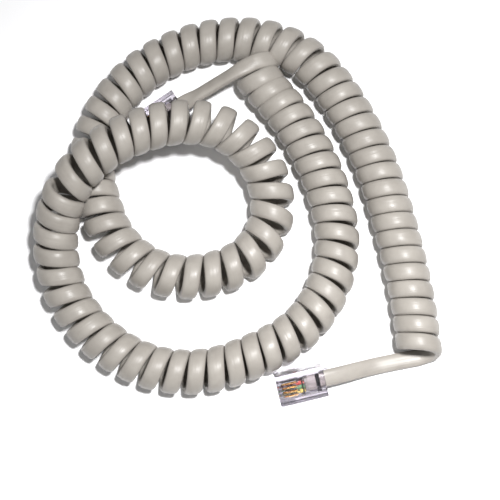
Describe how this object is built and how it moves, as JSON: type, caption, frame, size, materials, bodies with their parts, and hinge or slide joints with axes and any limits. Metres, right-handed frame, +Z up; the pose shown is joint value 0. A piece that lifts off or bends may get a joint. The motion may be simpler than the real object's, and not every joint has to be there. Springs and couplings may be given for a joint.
{
  "type": "coiled handset cord",
  "caption": "Coiled flat telephone handset cord lying in a loose spiral, with a short straight lead and a clear latching modular plug at each end.",
  "frame": {"origin": "middle of the cord's outline as it lies, on the surface it lies on", "axes": "+Z up; +X from the cord's left side to the right, where the coil's open end comes down to the first plug's lead; +Y away from the first plug"},
  "size_m": [0.0992, 0.0978, 0.0232],
  "materials": {
    "cord_jacket": "glossy warm grey flexible PVC",
    "clear_plastic": "clear polycarbonate",
    "gold_contact": "gold-plated phosphor bronze",
    "wire_black": "black conductor insulation",
    "wire_red": "red conductor insulation",
    "wire_green": "green conductor insulation",
    "wire_yellow": "yellow conductor insulation"
  },
  "bodies": {
    "cord": {"coil": "cord_jacket", "lead_a": "cord_jacket", "lead_b": "cord_jacket", "plug_a_contact_1": "gold_contact", "plug_a_contact_2": "gold_contact", "plug_a_contact_3": "gold_contact", "plug_a_contact_4": "gold_contact", "plug_a_housing": "clear_plastic", "plug_a_jacket_clamp": "clear_plastic", "plug_a_jacket_end": "cord_jacket", "plug_a_wire_black": "wire_black", "plug_a_wire_clamp": "clear_plastic", "plug_a_wire_green": "wire_green", "plug_a_wire_red": "wire_red", "plug_a_wire_yellow": "wire_yellow", "plug_b_contact_1": "gold_contact", "plug_b_contact_2": "gold_contact", "plug_b_contact_3": "gold_contact", "plug_b_contact_4": "gold_contact", "plug_b_housing": "clear_plastic", "plug_b_jacket_clamp": "clear_plastic", "plug_b_jacket_end": "cord_jacket", "plug_b_wire_black": "wire_black", "plug_b_wire_clamp": "clear_plastic", "plug_b_wire_green": "wire_green", "plug_b_wire_red": "wire_red", "plug_b_wire_yellow": "wire_yellow"},
    "latch_a": {"plug_a_latch": "clear_plastic"},
    "latch_b": {"plug_b_latch": "clear_plastic"}
  },
  "joints": [
    {"name": "latch_a_press", "type": "hinge", "parent": "cord", "child": "latch_a", "pos_m": [0.01023, -0.04368, 0.00206], "axis": [0.2244, -0.9347, -0.2756], "range_deg": [0, 5.5], "stiffness_Nm_per_rad": 0.02},
    {"name": "latch_b_press", "type": "hinge", "parent": "cord", "child": "latch_b", "pos_m": [-0.02281, 0.02073, 0.0007], "axis": [0.5446, -0.8387, 0], "range_deg": [0, 5.5], "stiffness_Nm_per_rad": 0.02}
  ]
}
